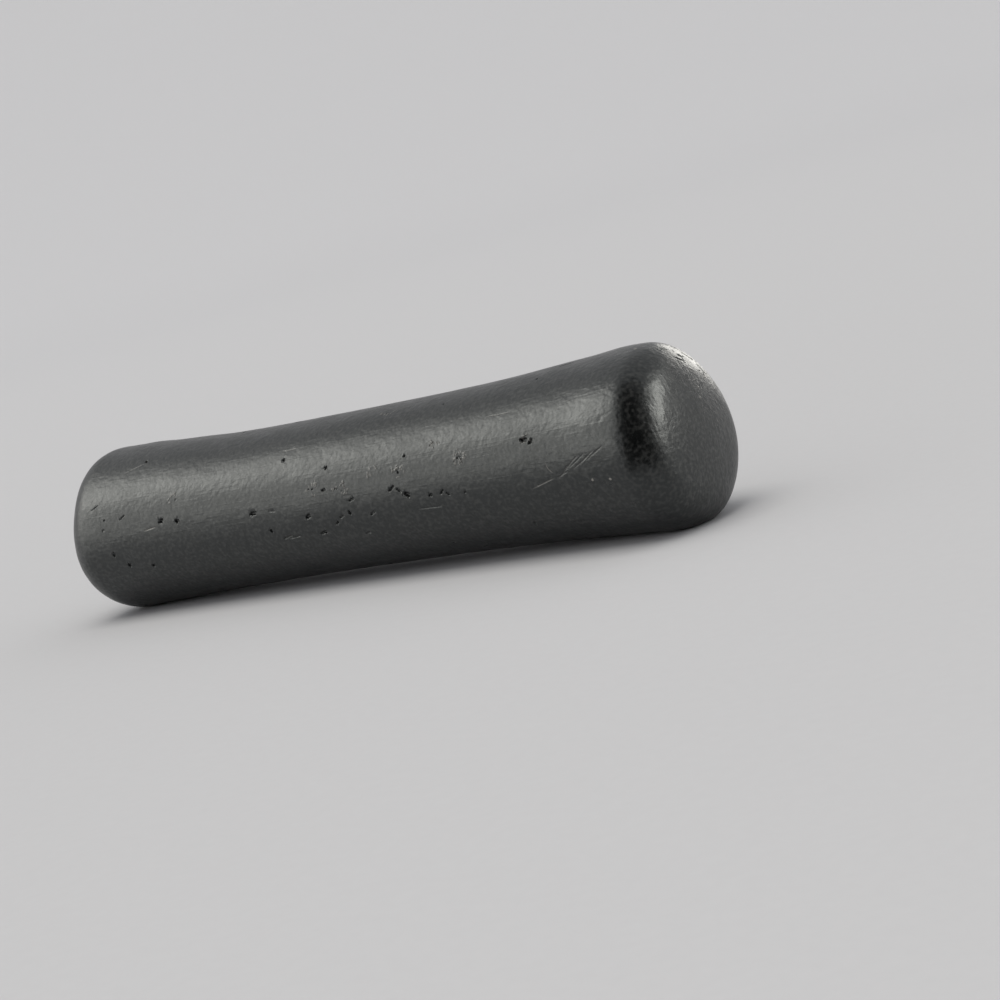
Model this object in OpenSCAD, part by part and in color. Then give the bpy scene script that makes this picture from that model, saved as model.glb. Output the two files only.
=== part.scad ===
// Hand-rolled ink stick: one solid lump of kneaded soot and glue, rolled into a rod and
// pressed at both ends, so that each end flares out a little and closes in a blunt dome.
//
// Frame: millimetres. The stick lies on its side along X, with its head towards +X and
// +Z up. Z = 0 is the surface that it lies on, and the origin is under its middle.

/* [Body] */
// Overall length, from the tail's pole to the head's pole
stick_l = 140; // [110:1:170]
// Diameter of the slim middle
waist_d = 28.2; // [26:0.1:29]
// Length of the straight stretch in the middle
waist_l = 24; // [10:1:40]

/* [Tail end] */
// Largest diameter of the tail's flare
tail_d = 31.2; // [30.2:0.1:34]
// Radius of the rounded shoulder between the tail's side and its dome
tail_shoulder_r = 7.2; // [5:0.1:7.5]
// Radius of the tail's shallow dome
tail_dome_r = 26; // [20:1:60]

/* [Head end] */
// Largest diameter of the head's flare
head_d = 31.2; // [30.2:0.1:34]
// Radius of the rounded shoulder between the head's side and its dome
head_shoulder_r = 7; // [5:0.1:7.5]
// Radius of the head's shallow dome
head_dome_r = 50; // [20:1:60]

/* [Pressed flats] */
// Depth of the slanting flat that is pressed into the head's shoulder
head_flat_depth = 1.6; // [0.4:0.1:2]
// Angle between the stick's axis and the direction that the slanting flat faces
head_flat_tilt = 33; // [25:1:45]
// Turn of the slanting flat around the axis, from +Y (0) up to +Z (90)
head_flat_turn = 53; // [0:1:90]
// Depth of the flats under the smaller flare, where the stick lay while it dried
rest_depth = 0.3; // [0.2:0.05:0.6]

/* [Hidden] */
$fn = 96;
FLARE_FN = 256; // the flare's hollow is a short stretch of a very large circle
SNUG = 0.003;
INK = [0.13, 0.14, 0.15];

half_l = stick_l / 2;
waist_r = waist_d / 2;
axis_z = min(tail_d, head_d) / 2 - rest_depth;

// Centre of an end's shoulder circle in the half profile, as [radius, height]. The circle
// reaches out to the flare's largest radius, and the dome's circle touches it.
function shoulder_centre(crest_r, shoulder_r, dome_r) =
    let (r = crest_r - shoulder_r)
    [r, half_l - dome_r + sqrt(pow(dome_r - shoulder_r, 2) - r * r)];

// Radius of the hollow arc that leaves the straight waist smoothly and touches the shoulder.
function flare_radius(shoulder, shoulder_r) =
    let (along = shoulder[1] - waist_l / 2, across = waist_r - shoulder[0])
    (along * along + across * across - shoulder_r * shoulder_r)
        / (2 * (shoulder_r - across));

// The point that lies a distance from one point in the direction of another.
function towards(start, target, distance) =
    start + distance * (target - start) / norm(target - start);

// Half profile of one end, from the stick's middle up to the end's pole. Where one curve
// runs into the next they overlap by SNUG, so that they cross cleanly and leave no gap.
module end_profile(crest_r, shoulder_r, dome_r) {
    shoulder = shoulder_centre(crest_r, shoulder_r, dome_r);
    flare_r = flare_radius(shoulder, shoulder_r);
    flare = [waist_r + flare_r, waist_l / 2];
    dome = [0, half_l - dome_r];
    flare_end = towards(shoulder, flare, shoulder_r);
    dome_end = towards(dome, shoulder, dome_r);

    difference() {
        polygon([[0, 0], [waist_r, 0], [waist_r, flare[1]], [crest_r, flare[1]],
                 [crest_r, flare_end[1]], [0, flare_end[1]]]);
        translate(flare) circle(r = flare_r + SNUG, $fn = FLARE_FN);
    }
    translate(shoulder) circle(r = shoulder_r + SNUG);
    intersection() {
        translate(dome) circle(r = dome_r);
        square([dome_end[0], stick_l]);
    }
}

// The rolled lump before it is pressed, lying along X with its axis on the X axis.
module rolled_lump() {
    rotate([-90, 0, -90]) rotate_extrude() {
        end_profile(head_d / 2, head_shoulder_r, head_dome_r);
        mirror([0, 1]) end_profile(tail_d / 2, tail_shoulder_r, tail_dome_r);
    }
}

// What the slanting press takes off the head, measured down from the shoulder's highest
// point in the direction that the flat faces.
module head_press() {
    shoulder = shoulder_centre(head_d / 2, head_shoulder_r, head_dome_r);
    reach = shoulder[1] * cos(head_flat_tilt) + shoulder[0] * sin(head_flat_tilt)
        + head_shoulder_r;
    rotate([head_flat_turn, 0, 0]) rotate([0, 0, head_flat_tilt])
        translate([reach - head_flat_depth, -head_d, -head_d])
            cube([head_d, 2 * head_d, 2 * head_d]);
}

// The drying board: everything below the surface that the stick lies on.
module drying_board() {
    board_w = 2 * max(tail_d, head_d);
    translate([-stick_l, -board_w / 2, -board_w]) cube([2 * stick_l, board_w, board_w]);
}

module ink_stick() {
    color(INK)
    difference() {
        translate([0, 0, axis_z]) difference() {
            rolled_lump();
            head_press();
        }
        drying_board();
    }
}

ink_stick();
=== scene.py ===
"""A hand-rolled ink stick on a pale studio floor: one black, burnished lump with flared ends.

The stick lies on its side along X with its head towards +X. Angles around it start at the
back, +Y (0 degrees), and go over the top (90) to the front, -Y (180). Everything is in
metres; places on the skin are written in millimetres along X and degrees around.
"""

import math
import random

import bmesh
import bpy
import numpy as np
from mathutils import Matrix, Vector, noise


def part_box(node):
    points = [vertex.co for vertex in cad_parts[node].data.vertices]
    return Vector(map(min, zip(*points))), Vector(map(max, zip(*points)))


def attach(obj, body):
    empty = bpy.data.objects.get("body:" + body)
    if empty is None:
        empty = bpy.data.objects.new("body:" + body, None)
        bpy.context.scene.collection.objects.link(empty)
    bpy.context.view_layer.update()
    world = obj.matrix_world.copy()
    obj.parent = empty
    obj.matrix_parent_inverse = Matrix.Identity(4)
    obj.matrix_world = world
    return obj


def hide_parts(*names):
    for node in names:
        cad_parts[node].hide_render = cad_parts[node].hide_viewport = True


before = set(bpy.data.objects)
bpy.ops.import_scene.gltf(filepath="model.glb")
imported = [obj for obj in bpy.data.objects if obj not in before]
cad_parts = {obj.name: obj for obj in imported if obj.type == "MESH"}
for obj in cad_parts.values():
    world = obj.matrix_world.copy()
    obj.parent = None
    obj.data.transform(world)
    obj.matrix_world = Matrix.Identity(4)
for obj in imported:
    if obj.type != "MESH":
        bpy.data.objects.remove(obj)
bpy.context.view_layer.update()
MM = 0.001

# ---- The stick's shape, as in the CAD part -------------------------------------------
STICK_LOW, STICK_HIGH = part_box("ink_stick")
HALF_L = (STICK_HIGH.x - STICK_LOW.x) / 2
CREST_R = (STICK_HIGH.y - STICK_LOW.y) / 2      # both flares
AXIS_Z = STICK_HIGH.z - CREST_R
WAIST_R = 14.1 * MM
WAIST_L = 24 * MM
HEAD_SHOULDER_R, HEAD_DOME_R = 7 * MM, 50 * MM
TAIL_SHOULDER_R, TAIL_DOME_R = 7.2 * MM, 26 * MM

# The slanting flat that is pressed into the head's shoulder. Its edges are soft, and it is
# 0.1 mm deeper than the CAD part's, whose edges are sharp.
SLANT_TILT, SLANT_TURN = math.radians(33), math.radians(53)
SLANT_DEPTH = 1.7 * MM
SLANT_SOFTNESS = 4.1 * MM
REST_SOFTNESS = 0.15 * MM                       # edge of the flats under the flares

# Unevenness that the hands left
SAG = 0.25 * MM                                 # how far the waist lies below the ends
LUMP_HEIGHT = 0.09 * MM
LUMP_L, LUMP_W = 24 * MM, 9 * MM
LUMP_SEED = 3
RIPPLE_HEIGHT = 0.028 * MM
RIPPLE_L, RIPPLE_W = 5 * MM, 2.4 * MM
RIPPLE_SEED = 8

# Broad swells and hollows: x in mm, angle in degrees, length, width and height in mm
SWELLS = [
    (48, 95, 11, 10, 0.25),                     # top of the head's flare
    (58, 86, 5, 9, 0.3),
    (59, 150, 6, 10, 0.3),                      # front of the head's flare
    (66, -70, 5, 8, 0.55),                      # lower back corner of the head
    (-42, 95, 9, 10, 0.25),                     # top of the tail's flare
    (-52, 80, 4, 9, 0.25),
    (-66, 152, 6, 8, -0.55),                    # front of the tail's face
    (-64, 212, 6, 8, 0.5),                      # lower front corner of the tail
]

# ---- The mesh ------------------------------------------------------------------------
CAP_R = 9 * MM                                  # the part of each dome that is a square grid
AROUND = 160                                    # faces around the stick, a multiple of 4
CELL_L = 0.62 * MM
SPLITS = 3                                      # times that a cell near a mark may be halved
ARC_POINTS = 120


def arc(centre, radius, start, stop):
    """Points (along, out) on an arc; the angles are measured from the stick's axis."""
    turn = np.linspace(start, stop, ARC_POINTS)
    return np.stack([centre[0] + radius * np.cos(turn), centre[1] + radius * np.sin(turn)], 1)


def end_outline(shoulder_r, dome_r):
    """One end's outline from its pole to the stick's middle: dome, shoulder, flare, waist."""
    out = CREST_R - shoulder_r
    dome = (HALF_L - dome_r, 0)
    shoulder = (dome[0] + math.sqrt((dome_r - shoulder_r) ** 2 - out * out), out)
    along, across = shoulder[0] - WAIST_L / 2, WAIST_R - shoulder[1]
    flare_r = (along**2 + across**2 - shoulder_r**2) / (2 * (shoulder_r - across))
    flare = (WAIST_L / 2, WAIST_R + flare_r)
    dome_end = math.atan2(shoulder[1] - dome[1], shoulder[0] - dome[0])
    flare_turn = math.atan2(flare[1] - shoulder[1], flare[0] - shoulder[0])
    return np.concatenate([
        arc(dome, dome_r, 0, dome_end),
        arc(shoulder, shoulder_r, dome_end, flare_turn)[1:],
        arc(flare, flare_r, flare_turn - math.pi, -math.pi / 2)[1:],
        [(0, WAIST_R)],
    ])


HEAD_OUTLINE = end_outline(HEAD_SHOULDER_R, HEAD_DOME_R)
TAIL_OUTLINE = end_outline(TAIL_SHOULDER_R, TAIL_DOME_R)
OUTLINE = np.concatenate([TAIL_OUTLINE * [-1, 1], HEAD_OUTLINE[-2::-1]])
OUTLINE_AT = np.concatenate([[0], np.cumsum(np.hypot(*np.diff(OUTLINE, axis=0).T))])
OUTLINE_L = OUTLINE_AT[-1]
OUTLINE_X, OUTLINE_R = OUTLINE.T
OUTLINE_SLOPE = np.gradient(OUTLINE, OUTLINE_AT, axis=0)


def slant_plane():
    """The slant's normal, and its distance from the middle of the stick's axis."""
    normal = np.array([
        math.cos(SLANT_TILT),
        math.sin(SLANT_TILT) * math.cos(SLANT_TURN),
        math.sin(SLANT_TILT) * math.sin(SLANT_TURN),
    ])
    out = CREST_R - HEAD_SHOULDER_R
    along = HALF_L - HEAD_DOME_R + math.sqrt((HEAD_DOME_R - HEAD_SHOULDER_R) ** 2 - out**2)
    reach = along * math.cos(SLANT_TILT) + out * math.sin(SLANT_TILT) + HEAD_SHOULDER_R
    return normal, reach - SLANT_DEPTH + SLANT_SOFTNESS**2 / (4 * SLANT_DEPTH)


def beyond(height, softness):
    """How far a height is above zero, rounded off near zero."""
    return (height + np.sqrt(height**2 + softness**2)) / 2


def lumps(points, length, width, seed):
    """Smooth unevenness from -1 to 1, drawn out along the stick."""
    offset = Vector((seed, 2.3 * seed, 0))
    scaled = points / [length, width, width]
    return np.array([noise.noise(Vector(p) + offset) for p in scaled])


def swell_heights(points):
    """How far the skin stands out at these points, which lie around the axis at height 0."""
    total = np.zeros(len(points))
    for x, angle, length, width, height in SWELLS:
        turn = math.radians(angle)
        out = np.interp(x * MM, OUTLINE_X, OUTLINE_R)
        centre = np.array([x * MM, out * math.cos(turn), out * math.sin(turn)])
        away = (points - centre) / (np.array([length, width, width]) * MM)
        total += height * MM * np.exp(-(away**2).sum(1))
    return total


def skin(along, angle, uneven=True):
    """Points of the stick's skin, by the distance along its outline and the angle around."""
    x = np.interp(along, OUTLINE_AT, OUTLINE_X)
    r = np.interp(along, OUTLINE_AT, OUTLINE_R)
    points = np.stack([x, r * np.cos(angle), r * np.sin(angle)], 1)
    if uneven:
        height = (LUMP_HEIGHT * lumps(points, LUMP_L, LUMP_W, LUMP_SEED)
                  + RIPPLE_HEIGHT * lumps(points, RIPPLE_L, RIPPLE_W, RIPPLE_SEED)
                  + swell_heights(points))
        slope_x = np.interp(along, OUTLINE_AT, OUTLINE_SLOPE[:, 0])
        slope_r = np.interp(along, OUTLINE_AT, OUTLINE_SLOPE[:, 1])
        out = np.stack([-slope_r, slope_x * np.cos(angle), slope_x * np.sin(angle)], 1)
        points += height[:, None] * out
        points[:, 2] -= SAG * (1 - (x / HALF_L) ** 2)
    normal, distance = slant_plane()
    points -= beyond(points @ normal - distance, SLANT_SOFTNESS)[:, None] * normal
    points[:, 2] += AXIS_Z
    points[:, 2] += beyond(-points[:, 2], REST_SOFTNESS)
    return points


# The blank is a plain rod with flat ends. Its points are moved onto the skin: a point's
# distance from the blank's pole, measured over the surface, is its distance on the outline.
BLANK_L = OUTLINE_L - 2 * CAP_R
ON_A_DISC = 1e-7                                # how near a disc a point has to be to lie on it


def blank_rod():
    """A flat-ended rod of square cells, as a bmesh: two disc grids and the rings between."""
    side = AROUND // 4
    steps = math.sqrt(2) * np.sin(np.linspace(-math.pi / 4, math.pi / 4, side + 1))
    bm = bmesh.new()

    def disc(x):
        return [[bm.verts.new((x, CAP_R * v * math.sqrt(1 - u * u / 2),
                               CAP_R * u * math.sqrt(1 - v * v / 2)))
                 for v in steps] for u in steps]

    def rim(grid):
        return (grid[0][:-1] + [row[-1] for row in grid[:-1]]
                + grid[-1][:0:-1] + [row[0] for row in grid[:0:-1]])

    tail_disc, head_disc = disc(0), disc(BLANK_L)
    rings = [rim(tail_disc)]
    for x in np.linspace(0, BLANK_L, round(BLANK_L / CELL_L) + 1)[1:-1]:
        rings.append([bm.verts.new((x, v.co.y, v.co.z)) for v in rings[0]])
    rings.append(rim(head_disc))
    for near, far in zip(rings, rings[1:]):
        for i in range(AROUND):
            bm.faces.new((near[i], near[i - 1], far[i - 1], far[i]))
    for grid in (tail_disc, head_disc):
        for i in range(side):
            for j in range(side):
                bm.faces.new((grid[i][j], grid[i][j + 1], grid[i + 1][j + 1], grid[i + 1][j]))
    bmesh.ops.recalc_face_normals(bm, faces=bm.faces)
    return bm


def on_outline(points):
    """Distance along the outline and angle around, for points of the blank."""
    radius = np.hypot(points[:, 1], points[:, 2])
    along = points[:, 0] + CAP_R
    along = np.where(points[:, 0] < ON_A_DISC, radius, along)
    along = np.where(points[:, 0] > BLANK_L - ON_A_DISC, OUTLINE_L - radius, along)
    return along, np.arctan2(points[:, 2], points[:, 1])


def vertex_points(bm):
    return np.array([v.co[:] for v in bm.verts])


# ---- Marks in the skin ---------------------------------------------------------------
# Widths in a mark's cross-section, as shares of its half width
HOLE_EDGE, BEVEL_EDGE, RIM_W = 0.85, 1.5, 0.3
# Heights in it, as shares of the mark's depth
HOLE_SHARE, BEVEL_SHARE, RIM_SHARE = 0.75, 0.25, 0.05
RAGGEDNESS = 0.5                                # of a mark's edge
LEAST_FACING = 0.3                              # skin that faces further away stays unmarked
REFINED_W = 1.7                                 # half widths around a mark with smaller cells
SHORT_STEP, SHORT_TURN = 1e-5, 0.01             # for the directions along and around the skin


class Mark:
    """A dent, cut or raised dot: a short line on the skin with a width, a depth and a tone."""

    def __init__(self, x, angle, width, depth, length=0.0, turn=0.0, pale=0.0, bend=0.0):
        # x, width, depth, length and bend are in mm, angle and turn in degrees
        self.half_w, self.half_l = width * MM / 2, length * MM / 2
        self.depth, self.pale, self.bend = depth * MM, pale, bend * MM
        along = np.array([np.interp(x * MM, OUTLINE_X, OUTLINE_AT)])
        angle = np.array([math.radians(angle)])
        self.centre = skin(along, angle, False)[0]
        lengthwise = skin(along + SHORT_STEP, angle, False)[0] - self.centre
        sideways = skin(along, angle + SHORT_TURN, False)[0] - self.centre
        lengthwise /= np.linalg.norm(lengthwise)
        sideways /= np.linalg.norm(sideways)
        turn = math.radians(turn)
        self.line = lengthwise * math.cos(turn) + sideways * math.sin(turn)
        self.across = sideways * math.cos(turn) - lengthwise * math.sin(turn)
        self.cell = self.half_w / 3             # the size of mesh cell that the mark needs

    def local(self, points):
        """Place along the mark's line, distance from the line, and offset from the centre."""
        offset = points - self.centre
        u, v = offset @ self.line, offset @ self.across
        if self.half_l:
            v = v - self.bend * (1 - (u / self.half_l) ** 2)
        past_end = np.maximum(np.abs(u) - self.half_l, 0)
        return u, np.hypot(v, past_end), offset

    def near(self, points, margin):
        reach = self.half_l + self.half_w + margin + abs(self.bend)
        return np.abs(points - self.centre).max(1) < reach


def dent_profile(ratio):
    """Depth from 1 in the middle, by distance over the half width: a steep hole in a bevel."""
    hole = np.clip(1 - (ratio / HOLE_EDGE) ** 3, 0, 1)
    bevel = np.clip(1 - (ratio / BEVEL_EDGE) ** 2, 0, 1)
    rim = np.exp(-((ratio - BEVEL_EDGE) / RIM_W) ** 2)
    return HOLE_SHARE * hole + BEVEL_SHARE * bevel - RIM_SHARE * rim


def press_marks(points, normals, marks):
    """Moves the points that the marks reach, and returns how pale each point is."""
    pale = np.zeros(len(points))
    moved = points.copy()
    for number, mark in enumerate(marks):
        chosen = np.nonzero(mark.near(points, 2 * mark.half_w))[0]
        if not len(chosen):
            continue
        u, distance, offset = mark.local(points[chosen])
        facing = normals[chosen] @ np.cross(mark.line, mark.across)
        seed = Vector((number * 1.7, 0, 0))
        wobble = np.array([noise.noise(Vector(o / mark.half_w) + seed)
                           + 0.5 * noise.noise(Vector(o / (0.4 * mark.half_w)) + seed)
                           for o in offset])
        ratio = distance / mark.half_w * (1 + RAGGEDNESS * wobble)
        fade = np.ones(len(chosen))
        if mark.half_l > 2 * mark.half_w:
            fade = np.clip(1.15 - (u / (mark.half_l + mark.half_w)) ** 2, 0, 1)
        depth = mark.depth * fade * dent_profile(ratio) * (np.abs(facing) > LEAST_FACING)
        moved[chosen] -= depth[:, None] * normals[chosen]
        tone = mark.pale * fade * np.clip(1.25 - ratio, 0, 1)
        pale[chosen] = np.maximum(pale[chosen], tone)
    return moved, pale


def refine(bm, marks):
    """Splits the blank's cells near the marks until each mark has cells small enough."""
    cell = CELL_L
    for _ in range(SPLITS):
        needing = [m for m in marks if m.cell < cell]
        if not needing:
            break
        bm.faces.ensure_lookup_table()
        centres = np.array([f.calc_center_median()[:] for f in bm.faces])
        centres = skin(*on_outline(centres), False)
        wanted = np.zeros(len(centres), bool)
        for mark in needing:
            chosen = np.nonzero(mark.near(centres, 2 * cell))[0]
            distance = mark.local(centres[chosen])[1]
            wanted[chosen[distance < REFINED_W * mark.half_w + 0.5 * cell]] = True
        edges = {e for i in np.nonzero(wanted)[0] for e in bm.faces[i].edges}
        bmesh.ops.subdivide_edges(bm, edges=list(edges), cuts=1, use_grid_fill=True)
        cell /= 2


def seen_marks():
    """The marks that stand out on the front and the head."""
    pits = [                                    # x, angle, width, depth, length, turn
        (-41, 170, 0.95, 0.6, 0.1, 0), (-37, 172, 0.75, 0.5, 0.3, 0),
        (-54.5, 188, 0.8, 0.4, 0.2, 90), (-52, 198, 0.8, 0.45, 0.2, 40),
        (-46.5, 202, 0.7, 0.4, 0.1, 0), (-55, 163, 0.5, 0.2, 0, 0),
        (-55.5, 170, 0.5, 0.12, 0.2, 0), (-18.5, 176, 0.75, 0.5, 0.9, 0),
        (-14, 177, 0.3, 0.12, 1.4, 5), (-15.5, 191, 0.6, 0.35, 0.2, 30),
        (-11, 140, 0.6, 0.4, 0.05, 0), (-6, 185, 0.7, 0.45, 0.6, -20),
        (-1.2, 168, 0.5, 0.3, 0.4, 0), (-4, 199, 0.6, 0.45, 1.1, -12),
        (-0.5, 152, 0.6, 0.35, 0.05, 0), (0, 193, 0.55, 0.35, 0.4, -25),
        (1.5, 189, 0.4, 0.25, 0.8, -20), (3.5, 187, 0.6, 0.4, 0.3, 70),
        (4.7, 178, 0.5, 0.3, 0.8, -15), (5.5, 205, 0.5, 0.25, 0.7, -5),
        (8.5, 190, 0.5, 0.25, 0.8, -20), (17, 181, 0.8, 0.55, 0.7, 25),
        (17.5, 154, 0.5, 0.35, 0, 0), (22, 184, 0.6, 0.4, 0.3, 0),
        (24.6, 183, 0.4, 0.3, 0.9, -40), (25.8, 185, 0.4, 0.25, 0.6, 30),
        (43.5, 158, 0.75, 0.5, 0.5, 0), (45, 160, 0.55, 0.35, 0.6, -50),
        (29.5, 186, 0.35, 0.2, 0.2, 0),
    ]
    marks = [Mark(*pit) for pit in pits]
    dashes = [                                  # x, angle, width, depth, length, turn
        (-57.5, 153, 0.3, 0.15, 1.8, -24), (-50.5, 163, 0.35, 0.22, 1.3, -28),
        (-12.5, 198, 0.4, 0.3, 2.0, -8), (-11, 199, 0.3, 0.25, 2.6, -3),
        (14, 175, 0.5, 0.4, 1.2, -32), (15.5, 177, 0.4, 0.25, 1.0, 40),
        (21, 193, 0.22, 0.12, 5.0, 2), (66, 88, 0.35, 0.25, 1.2, -60),
        (68, 80, 0.3, 0.25, 2.2, -70), (67.5, 76, 0.4, 0.3, 0.7, -70),
        (67, 62, 0.35, 0.2, 2.4, -72), (68, 50, 0.3, 0.2, 1.8, -60),
        (65.5, 70, 0.3, 0.15, 1.5, -50),
    ]
    marks += [Mark(*dash) for dash in dashes]
    scratches = [                               # x, angle, width, depth, length, turn, pale
        (-44, 174.5, 0.24, 0.07, 2.8, -6, 1.0), (46, 188, 0.2, 0.06, 5.0, -14, 0.6),
        (51.5, 181, 0.3, 0.04, 3.4, -32, 0.12), (52.5, 178, 0.3, 0.045, 4.0, -30, 0.15),
        (53.6, 177.5, 0.3, 0.05, 4.4, -28, 0), (54.8, 178, 0.35, 0.04, 4.0, -27, 0.1),
        (56, 176, 0.3, 0.045, 3.6, -30, 0.1), (57.5, 174.5, 0.3, 0.04, 3.2, -28, 0.1),
        (58.5, 173, 0.3, 0.045, 2.4, -28, 0.1), (50.5, 184, 0.3, 0.05, 2.4, -20, 0.1),
        (23.5, 149, 0.3, 0.1, 1.0, -35, 0.8),
    ]
    marks += [Mark(*scratch) for scratch in scratches]
    marks.append(Mark(48, 178.5, 0.22, 0.06, 2.0, 60, 0.7, bend=0.25))
    # Three small raised dots with a pale tone
    pale_dots = [(56, 190), (59.5, 191), (62.5, 100)]
    marks += [Mark(x, angle, 0.4, -0.06, pale=3.5) for x, angle in pale_dots]
    return marks


def crumbled_patch(x, angle, radius, count, seed):
    """A rough ring of crumbs around small pits, where a bubble broke under the rolling hand.

    Four marks in five are raised crumbs with a pale tone, partly painted glint on their tops,
    and the fifth is a pit.
    """
    rng = random.Random(seed)
    marks = []
    for number in range(count):
        raised = number % 5 < 4
        turn = rng.uniform(0, math.tau)
        reach = radius * (rng.uniform(0.5, 1.15) if raised else rng.uniform(0.1, 0.8))
        dx = 1.2 * reach * math.cos(turn)
        dangle = math.degrees(0.9 * reach * math.sin(turn) * MM / WAIST_R)
        place = (x + dx, angle + dangle, rng.uniform(0.25, 0.42))
        length, line = rng.uniform(0, 0.5), rng.uniform(-90, 90)
        if raised:
            # raised crumb: its pale tone is partly painted glint on its top
            marks.append(Mark(*place, -rng.uniform(0.03, 0.06), length, line, 0.5))
        else:
            marks.append(Mark(*place, rng.uniform(0.06, 0.14), length / 2, line))
    return marks


def scattered_marks():
    """Small pits, dashes and scratches on the sides that the seen marks leave bare."""
    rng = random.Random(41)
    marks = []
    for _ in range(46):
        x, angle = rng.uniform(-62, 62), rng.uniform(-150, 120)
        size = rng.uniform(0.35, 0.85)
        marks.append(Mark(x, angle, size, size * rng.uniform(0.35, 0.6)))
    for _ in range(16):
        x, angle = rng.uniform(-60, 60), rng.uniform(-150, 120)
        marks.append(Mark(x, angle, 0.3, 0.14, rng.uniform(0.8, 2.6), rng.gauss(0, 25)))
    for _ in range(12):
        x, angle = rng.uniform(-60, 60), rng.uniform(-170, 150)
        marks.append(Mark(x, angle, 0.2, 0.05, rng.uniform(1.5, 5), rng.gauss(0, 25), 0.5))
    return marks


def make_stick():
    """The whole skin: a blank refined near the marks, then shaped, then marked."""
    marks = seen_marks() + scattered_marks()
    patches = [                                 # x, angle, radius, count
        (-3.5, 166, 1.2, 12), (2.8, 169, 1.4, 18), (10, 161, 1.0, 8), (16, 164.5, 1.1, 18),
        (29.5, 162, 1.3, 28), (24, 149, 0.7, 6), (-37.5, 155, 1.0, 8), (44, 158, 0.9, 8),
        (-30, 60, 1.2, 14), (35, 20, 1.2, 14), (-20, -60, 1.5, 16), (10, 110, 1.2, 8),
        (67, 70, 2.2, 16), (67, 50, 2.0, 12),
    ]
    for number, patch in enumerate(patches):
        marks += crumbled_patch(*patch, number)
    bm = blank_rod()
    refine(bm, marks)
    points = skin(*on_outline(vertex_points(bm)))
    for vertex, point in zip(bm.verts, points):
        vertex.co = point
    bm.normal_update()
    normals = np.array([v.normal[:] for v in bm.verts])
    points, pale = press_marks(points, normals, marks)
    for vertex, point in zip(bm.verts, points):
        vertex.co = point
    bmesh.ops.triangulate(bm, faces=[f for f in bm.faces if len(f.verts) > 4])
    mesh = bpy.data.meshes.new("ink_stick_skin")
    bm.to_mesh(mesh)
    bm.free()
    mesh.shade_smooth()
    mesh.attributes.new("pale", "FLOAT", "POINT").data.foreach_set("value", pale)
    stick = bpy.data.objects.new("ink_stick_skin", mesh)
    bpy.context.scene.collection.objects.link(stick)
    return stick


# ---- Materials -----------------------------------------------------------------------
class Shader:
    """A short way to add nodes to a material and join them."""

    def __init__(self, name):
        self.material = bpy.data.materials.new(name)
        self.material.use_nodes = True
        self.tree = self.material.node_tree
        self.surface = self.tree.nodes["Principled BSDF"]

    def add(self, kind, values=None, **settings):
        made = self.tree.nodes.new(kind)
        for name, value in settings.items():
            setattr(made, name, value)
        for name, value in (values or {}).items():
            self.put(made, name, value)
        return made

    def put(self, made, name, value):
        if isinstance(value, bpy.types.NodeSocket):
            self.tree.links.new(value, made.inputs[name])
        else:
            made.inputs[name].default_value = value

    def stretched(self, x, y, z):
        """Coordinates in the row frame, in cells of x by y by z metres."""
        here = self.add("ShaderNodeTexCoord").outputs["Object"]
        return self.add("ShaderNodeMapping", {"Vector": here, "Scale": (1 / x, 1 / y, 1 / z)}
                        ).outputs["Vector"]

    def noise(self, cells, detail=2.0, roughness=0.5):
        return self.add("ShaderNodeTexNoise", {
            "Vector": cells, "Scale": 1.0, "Detail": detail, "Roughness": roughness,
        }).outputs["Fac"]

    def between(self, factor, low, high, start=0.0, stop=1.0):
        """A number that goes from start to stop as factor goes from low to high."""
        return self.add("ShaderNodeMapRange", {
            "Value": factor, "From Min": low, "From Max": high, "To Min": start, "To Max": stop,
        }).outputs["Result"]

    def mix(self, factor, first, second):
        mixed = self.add("ShaderNodeMix", data_type="RGBA")
        for place, value in ((0, factor), (6, first), (7, second)):
            self.put(mixed, place, value)
        return mixed.outputs[2]

    def bump(self, height, distance, below=None):
        values = {"Height": height, "Distance": distance, "Strength": 1.0}
        if below is not None:
            values["Normal"] = below
        return self.add("ShaderNodeBump", values).outputs["Normal"]


SOOT_TONES = (0.0016, 0.0019, 0.002, 1), (0.003, 0.0035, 0.0036, 1)
STREAK_TONE = (0.008, 0.008, 0.008, 1)
SPECK_TONE = (0.021, 0.021, 0.0202, 1)
# pale tone of the marks: paler scratches, and painted glints on the raised crumbs
SCUFF_AND_GLINT_TONE = (0.34, 0.32, 0.29, 1)
INK_IOR = 1.6
INK_SHEEN_TINT = (0.95, 1.0, 1.0, 1)


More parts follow.
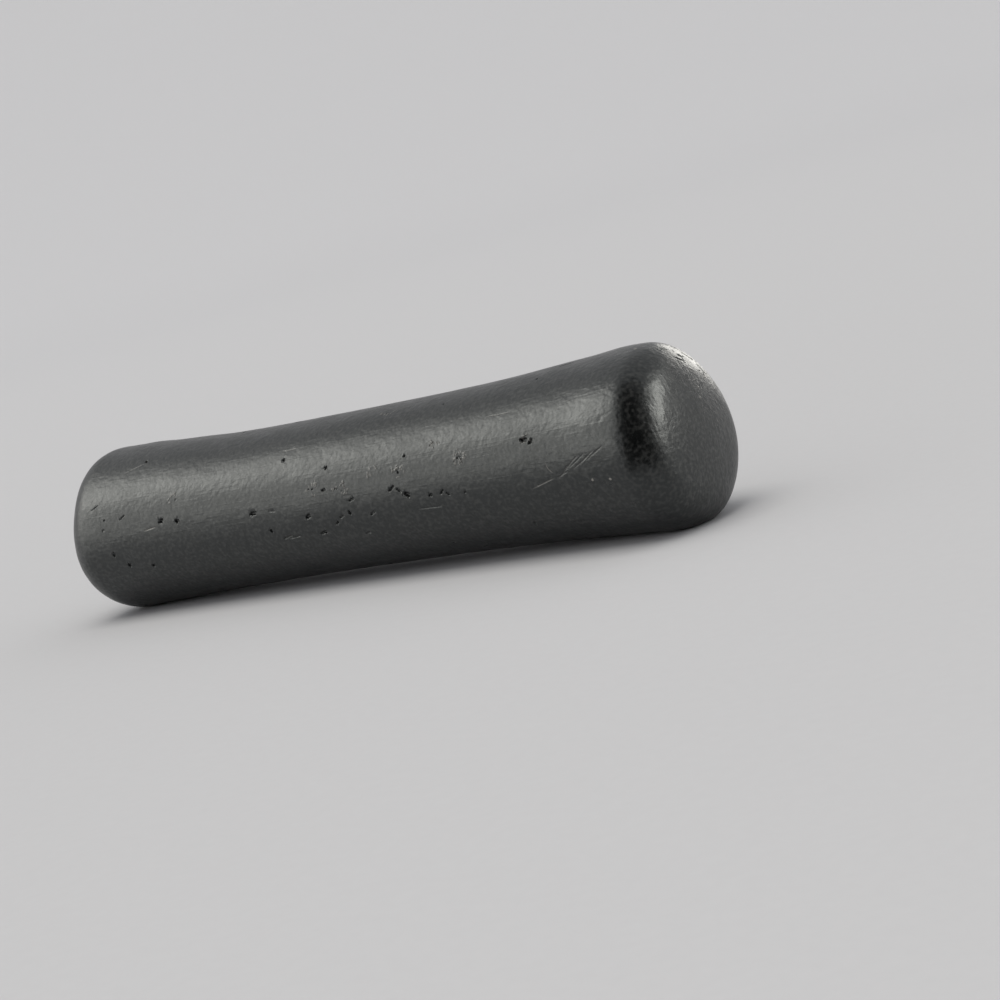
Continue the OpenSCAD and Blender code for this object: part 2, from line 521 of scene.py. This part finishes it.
def ink_material():
    """Burnished soot and glue, with streaks and hairlines along the stick."""
    s = Shader("burnished_ink")
    clouds = s.noise(s.stretched(14 * MM, 6 * MM, 6 * MM), 3)
    wear = s.noise(s.stretched(4 * MM, 2.5 * MM, 2.5 * MM), 5, 0.65)
    streaks = s.noise(s.stretched(9 * MM, 0.45 * MM, 0.45 * MM), 3)
    hairlines = s.noise(s.stretched(12 * MM, 0.4 * MM, 0.4 * MM), 0)
    pebbles = s.noise(s.stretched(1.1 * MM, 1.0 * MM, 1.0 * MM), 1)
    specks = s.noise(s.stretched(0.7 * MM, 0.6 * MM, 0.6 * MM), 0)
    grain = s.noise(s.stretched(0.45 * MM, 0.4 * MM, 0.4 * MM), 0)
    along = s.add("ShaderNodeSeparateXYZ", {"Vector": s.stretched(1, 1, 1)}).outputs["X"]
    at_head = s.between(along, HALF_L - 5 * MM, HALF_L - 2 * MM)
    wiped = s.between(s.noise(s.stretched(1, 0.5 * MM, 5 * MM), 2), 0.35, 0.65, 0, at_head)

    tone = s.between(clouds, 0.35, 0.65)
    ink = s.mix(tone, *SOOT_TONES)
    ink = s.mix(s.between(streaks, 0.5, 0.72, 0, 0.5), ink, STREAK_TONE)
    ink = s.mix(s.between(specks, 0.45, 0.75), ink, SPECK_TONE)
    # The marks' pale tone: paler scratches, and painted glints on the raised crumbs
    scuff_and_glint = s.add("ShaderNodeAttribute", attribute_name="pale").outputs["Fac"]
    ink = s.mix(s.between(scuff_and_glint, 0, 1, 0, 0.5), ink, SCUFF_AND_GLINT_TONE)
    s.put(s.surface, "Base Color", ink)

    # The crest of the head's flare is the most handled, so it has the highest polish
    handled = s.between(along, HALF_L - 24 * MM, HALF_L - 12 * MM)
    handled = s.between(along, HALF_L - 7 * MM, HALF_L - 4 * MM, handled, 0)
    least = s.between(handled, 0, 1, 0.31, 0.26)
    most = s.between(handled, 0, 1, 0.41, 0.34)
    s.put(s.surface, "Roughness", s.between(wear, 0.3, 0.7, least, most))

    relief = s.bump(clouds, 0.05 * MM)
    relief = s.bump(wear, 0.03 * MM, relief)
    relief = s.bump(pebbles, 0.078 * MM, relief)
    relief = s.bump(streaks, 0.006 * MM, relief)
    relief = s.bump(s.between(hairlines, 0.6, 0.72), 0.008 * MM, relief)
    relief = s.bump(wiped, 0.010 * MM, relief)
    relief = s.bump(grain, 0.012 * MM, relief)
    s.put(s.surface, "Normal", relief)
    s.put(s.surface, "IOR", INK_IOR)
    s.put(s.surface, "Specular Tint", INK_SHEEN_TINT)
    return s.material


# ---- Studio --------------------------------------------------------------------------
MIDDLE = Vector((0, 0, AXIS_Z))
FLOOR_R = 1.6                                   # flat part of the floor
FLOOR_SIDES = 96
SWEEP_R = 1.5                                   # radius of the curve up into the wall
SWEEP_STEPS = 13                                # of which the last is left open
FLOOR_TONE = (0.585, 0.585, 0.596, 1)
WALL_TONE = (0.66, 0.66, 0.674, 1)
FIBRE_TONE = (1, 1, 1, 1)

CAMERA_TARGET = Vector((16.5, 11.2, 7.1)) * MM
CAMERA_AZIMUTH, CAMERA_ELEVATION, CAMERA_ROLL = 37.5, 7.9, 15.2
CAMERA_DISTANCE = 441.3 * MM
CAMERA_LENS, SENSOR_W = 89.0, 36

SKY_TONE, SKY_STRENGTH = (0.70, 0.705, 0.715, 1), 0.86
SOFTBOX_DISTANCE = 2.0
WARM_WHITE = (1.0, 0.97, 0.91)
FLAG_CENTRE = Vector((60 * MM, 0, 0))           # under the head
FLAG_FROM, FLAG_TO = -6, 78                     # azimuths
FLAG_LEAN = 40                                  # how many degrees further left its top reaches
FLAG_NEAR, FLAG_FAR = 0.045, 0.5
FLAG_COLUMNS = 13
VELVET_TONE = (0.003, 0.003, 0.003, 1)


def direction(azimuth, elevation):
    """Towards a place around the stick: azimuth 0 is in front, at -Y, and 90 is at +X."""
    a, e = math.radians(azimuth), math.radians(elevation)
    return Vector((math.sin(a) * math.cos(e), -math.cos(a) * math.cos(e), math.sin(e)))


def make_camera():
    camera = bpy.data.objects.new("camera", bpy.data.cameras.new("camera"))
    bpy.context.scene.collection.objects.link(camera)
    back = direction(CAMERA_AZIMUTH, CAMERA_ELEVATION)
    turn = (-back).to_track_quat("-Z", "Y").to_matrix().to_4x4()
    roll = Matrix.Rotation(math.radians(-CAMERA_ROLL), 4, "Z")
    place = Matrix.Translation(CAMERA_TARGET + back * CAMERA_DISTANCE)
    camera.matrix_world = place @ turn @ roll
    camera.data.lens, camera.data.sensor_width = CAMERA_LENS, SENSOR_W
    camera.data.clip_start, camera.data.clip_end = 0.01, 20
    bpy.context.scene.camera = camera


def stage_mesh(name, bm, material):
    """Makes an object of the studio, which isn't part of the stick."""
    mesh = bpy.data.meshes.new(name)
    bm.to_mesh(mesh)
    bm.free()
    mesh.shade_smooth()
    mesh.materials.append(material)
    made = bpy.data.objects.new(name, mesh)
    bpy.context.scene.collection.objects.link(made)
    return made


def floor_material():
    """Pale paper, a little paler up the wall."""
    s = Shader("pale_paper")
    fibres = s.noise(s.stretched(2 * MM, 2 * MM, 2 * MM), 3)
    here = s.add("ShaderNodeTexCoord").outputs["Object"]
    out = s.add("ShaderNodeVectorMath", {0: here}, operation="LENGTH").outputs["Value"]
    grade = s.between(out, 0.1 * FLOOR_R, 1.2 * FLOOR_R)
    paper = s.mix(grade, FLOOR_TONE, WALL_TONE)
    paper = s.mix(s.between(fibres, 0.3, 0.7, 0, 0.02), paper, FIBRE_TONE)
    s.put(s.surface, "Base Color", paper)
    s.put(s.surface, "Roughness", s.between(fibres, 0.3, 0.7, 0.85, 0.95))
    s.put(s.surface, "Specular IOR Level", 0.0)
    s.put(s.surface, "Normal", s.bump(fibres, 0.02 * MM))
    return s.material


def make_floor():
    """A round floor that sweeps up into a wall on every side, open at the top."""
    bm = bmesh.new()
    profile = [(r, 0) for r in (0.05, 0.15, 0.4, 0.8, FLOOR_R)]
    for step in range(1, SWEEP_STEPS):
        turn = math.pi / 2 * step / SWEEP_STEPS
        profile.append((FLOOR_R + SWEEP_R * math.sin(turn), SWEEP_R * (1 - math.cos(turn))))
    rings = []
    for radius, height in profile:
        rings.append([bm.verts.new((radius * math.cos(math.tau * i / FLOOR_SIDES),
                                    radius * math.sin(math.tau * i / FLOOR_SIDES), height))
                      for i in range(FLOOR_SIDES)])
    bm.faces.new(rings[0])
    for inner, outer in zip(rings, rings[1:]):
        for i in range(FLOOR_SIDES):
            bm.faces.new((inner[i - 1], outer[i - 1], outer[i], inner[i]))
    return stage_mesh("studio_floor", bm, floor_material())


def flat_lamp(name, lit, width, height, brightness, place, facing):
    """A flat lamp with its light kept to one object. Its brightness is a radiance."""
    light = bpy.data.lights.new(name, "AREA")
    light.shape, light.size, light.size_y = "RECTANGLE", width, height
    light.energy = brightness * math.pi * width * height
    light.color = WARM_WHITE
    lamp = bpy.data.objects.new(name, light)
    bpy.context.scene.collection.objects.link(lamp)
    lamp.location = place
    lamp.rotation_mode = "QUATERNION"
    lamp.rotation_quaternion = (-facing).to_track_quat("Z", "Y")
    lamp.visible_camera = False
    receivers = bpy.data.collections.new(name + "_lights")
    receivers.objects.link(lit)
    lamp.light_linking.receiver_collection = receivers


def softbox(lit, azimuth, elevation, width, height, brightness, distance=SOFTBOX_DISTANCE):
    """A lamp that faces the stick."""
    towards = direction(azimuth, elevation)
    flat_lamp("softbox_at_%d_%d" % (azimuth, elevation), lit, width, height, brightness,
              MIDDLE + towards * distance, -towards)


def reflector_card(lit, left, right, near, far, brightness):
    """A pale card that lies in front of the stick and softens the edge of its dark side."""
    place = Vector(((left + right) / 2, -(near + far) / 2, 2 * MM))
    flat_lamp("reflector_card", lit, right - left, far - near, brightness, place,
              Vector((0, 0, 1)))


def make_lights(stick, floor):
    """The floor has one lamp above it, and the stick has softboxes for its reflections."""
    world = bpy.data.worlds.new("studio")
    bpy.context.scene.world = world
    world.use_nodes = True
    sky = world.node_tree.nodes["Background"].inputs
    sky["Color"].default_value, sky["Strength"].default_value = SKY_TONE, SKY_STRENGTH
    softbox(floor, 0, 80, 3.2, 3.2, 2.3, distance=4.0)
    left = [                                    # azimuth, elevation, width, height, brightness
        (-52, 27, 2.0, 1.8, 0.38),              # a sheet with soft edges
        (-53, 32, 2.3, 2.5, 0.34),
        (-66, 31, 1.4, 1.3, 0.55),
        (-67, 36, 0.7, 0.6, 2.2),               # its bright core
        (-67, 39, 1.0, 1.2, 1.25),
        (-46, 8, 1.5, 0.6, 0.9),                # low
    ]
    right = [
        (111, 18, 0.9, 1.7, 4.0),               # for the edge of the head
        (109, 20, 0.6, 1.1, 4.9),
        (185, 13, 0.9, 0.7, 4.4),               # behind, for the slanting flat
    ]
    for place in left:
        softbox(stick, *place)
    reflector_card(stick, left=-0.5, right=0.0, near=0.07, far=0.6, brightness=0.35)
    for place in right:
        softbox(stick, *place)


def make_flag():
    """A black cloth in front of the head, from the floor up. Only glossy rays see it."""
    profile = [(FLAG_NEAR, 0.001), (FLAG_FAR * 0.6, 0.001), (FLAG_FAR * 0.9, 0.04),
               (FLAG_FAR, 0.15), (FLAG_FAR, 0.4), (FLAG_FAR * 0.9, 0.65), (FLAG_FAR * 0.7, 0.8),
               (FLAG_FAR * 0.35, 0.9)]
    bm = bmesh.new()
    columns = []
    for share in np.linspace(0, 1, FLAG_COLUMNS):
        column = []
        for radius, height in profile:
            start = FLAG_FROM - FLAG_LEAN * (height / profile[-1][1]) ** 2
            out = direction(start + share * (FLAG_TO - start), 0)
            column.append(bm.verts.new(FLAG_CENTRE + out * radius + Vector((0, 0, height))))
        columns.append(column)
    for left, right in zip(columns, columns[1:]):
        for i in range(len(profile) - 1):
            bm.faces.new((left[i], right[i], right[i + 1], left[i + 1]))
    s = Shader("black_velvet")
    s.put(s.surface, "Base Color", VELVET_TONE)
    s.put(s.surface, "Roughness", 1.0)
    s.put(s.surface, "Specular IOR Level", 0.0)
    flag = stage_mesh("flag", bm, s.material)
    flag.visible_camera = flag.visible_diffuse = flag.visible_shadow = False


bpy.context.scene.view_settings.view_transform = "Standard"
make_camera()
make_flag()
floor = make_floor()
stick = make_stick()
make_lights(stick, floor)
stick.data.materials.append(ink_material())
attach(stick, "root")
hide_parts("ink_stick")
